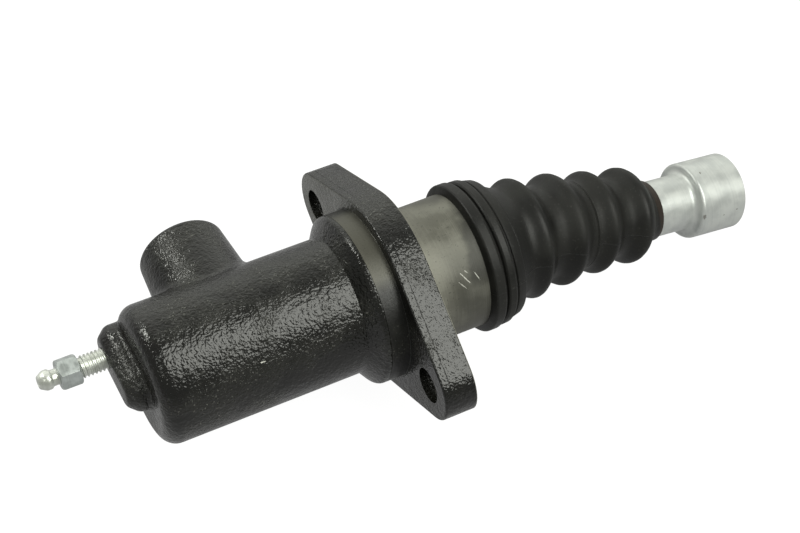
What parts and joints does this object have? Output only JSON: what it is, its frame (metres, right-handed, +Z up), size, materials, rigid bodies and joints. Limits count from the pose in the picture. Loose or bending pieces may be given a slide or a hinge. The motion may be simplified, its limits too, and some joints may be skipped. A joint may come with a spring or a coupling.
{
  "type": "clutch slave cylinder",
  "caption": "Hydraulic clutch slave cylinder with a two-hole flange, bleed screw, side port, dust boot and hanging pushrod.",
  "frame": {"origin": "centre of the flange's mounting face, on the bore axis", "axes": "+X along the bore towards the pushrod, +Y towards the inlet port and one flange hole, +Z up"},
  "size_m": [0.2756, 0.1146, 0.071],
  "materials": {
    "painted_casting": "satin",
    "zinc_screw": "satin",
    "zinc_rod": "satin",
    "boot_rubber": "matte",
    "seal_rubber": "satin",
    "piston_metal": "satin",
    "guide_plastic": "matte",
    "spring_steel": "satin",
    "pressed_steel": "satin"
  },
  "bodies": {
    "cylinder": {"cylinder_body": "painted_casting", "stop_washer": "pressed_steel", "snap_ring": "spring_steel", "dust_boot": "boot_rubber", "preload_spring": "spring_steel"},
    "piston": {"piston": "piston_metal", "main_cup_seal": "seal_rubber", "front_guide_ring": "guide_plastic", "rear_guide_ring": "guide_plastic", "spring_seat": "pressed_steel", "pushrod_clip": "spring_steel"},
    "rod": {"pushrod": "zinc_rod"},
    "bleed": {"bleed_screw": "zinc_screw"}
  },
  "joints": [
    {"name": "piston_slide", "type": "slide", "parent": "cylinder", "child": "piston", "axis": [1, 0, 0], "range_m": [-0.024, 0], "stiffness_N_per_m": 570, "springref_m": 0.012, "deforming": ["dust_boot", "preload_spring"]},
    {"name": "pushrod_swivel", "type": "hinge", "parent": "piston", "child": "rod", "pos_m": [0.02, 0, 0], "axis": [0, 1, 0], "range_deg": [-10, 0], "deforming": ["dust_boot"]},
    {"name": "bleed_screw_turn", "type": "hinge", "parent": "cylinder", "child": "bleed", "pos_m": [-0.107, 0.0133, 0], "axis": [1, 0, 0], "range_deg": [0, 360]}
  ]
}
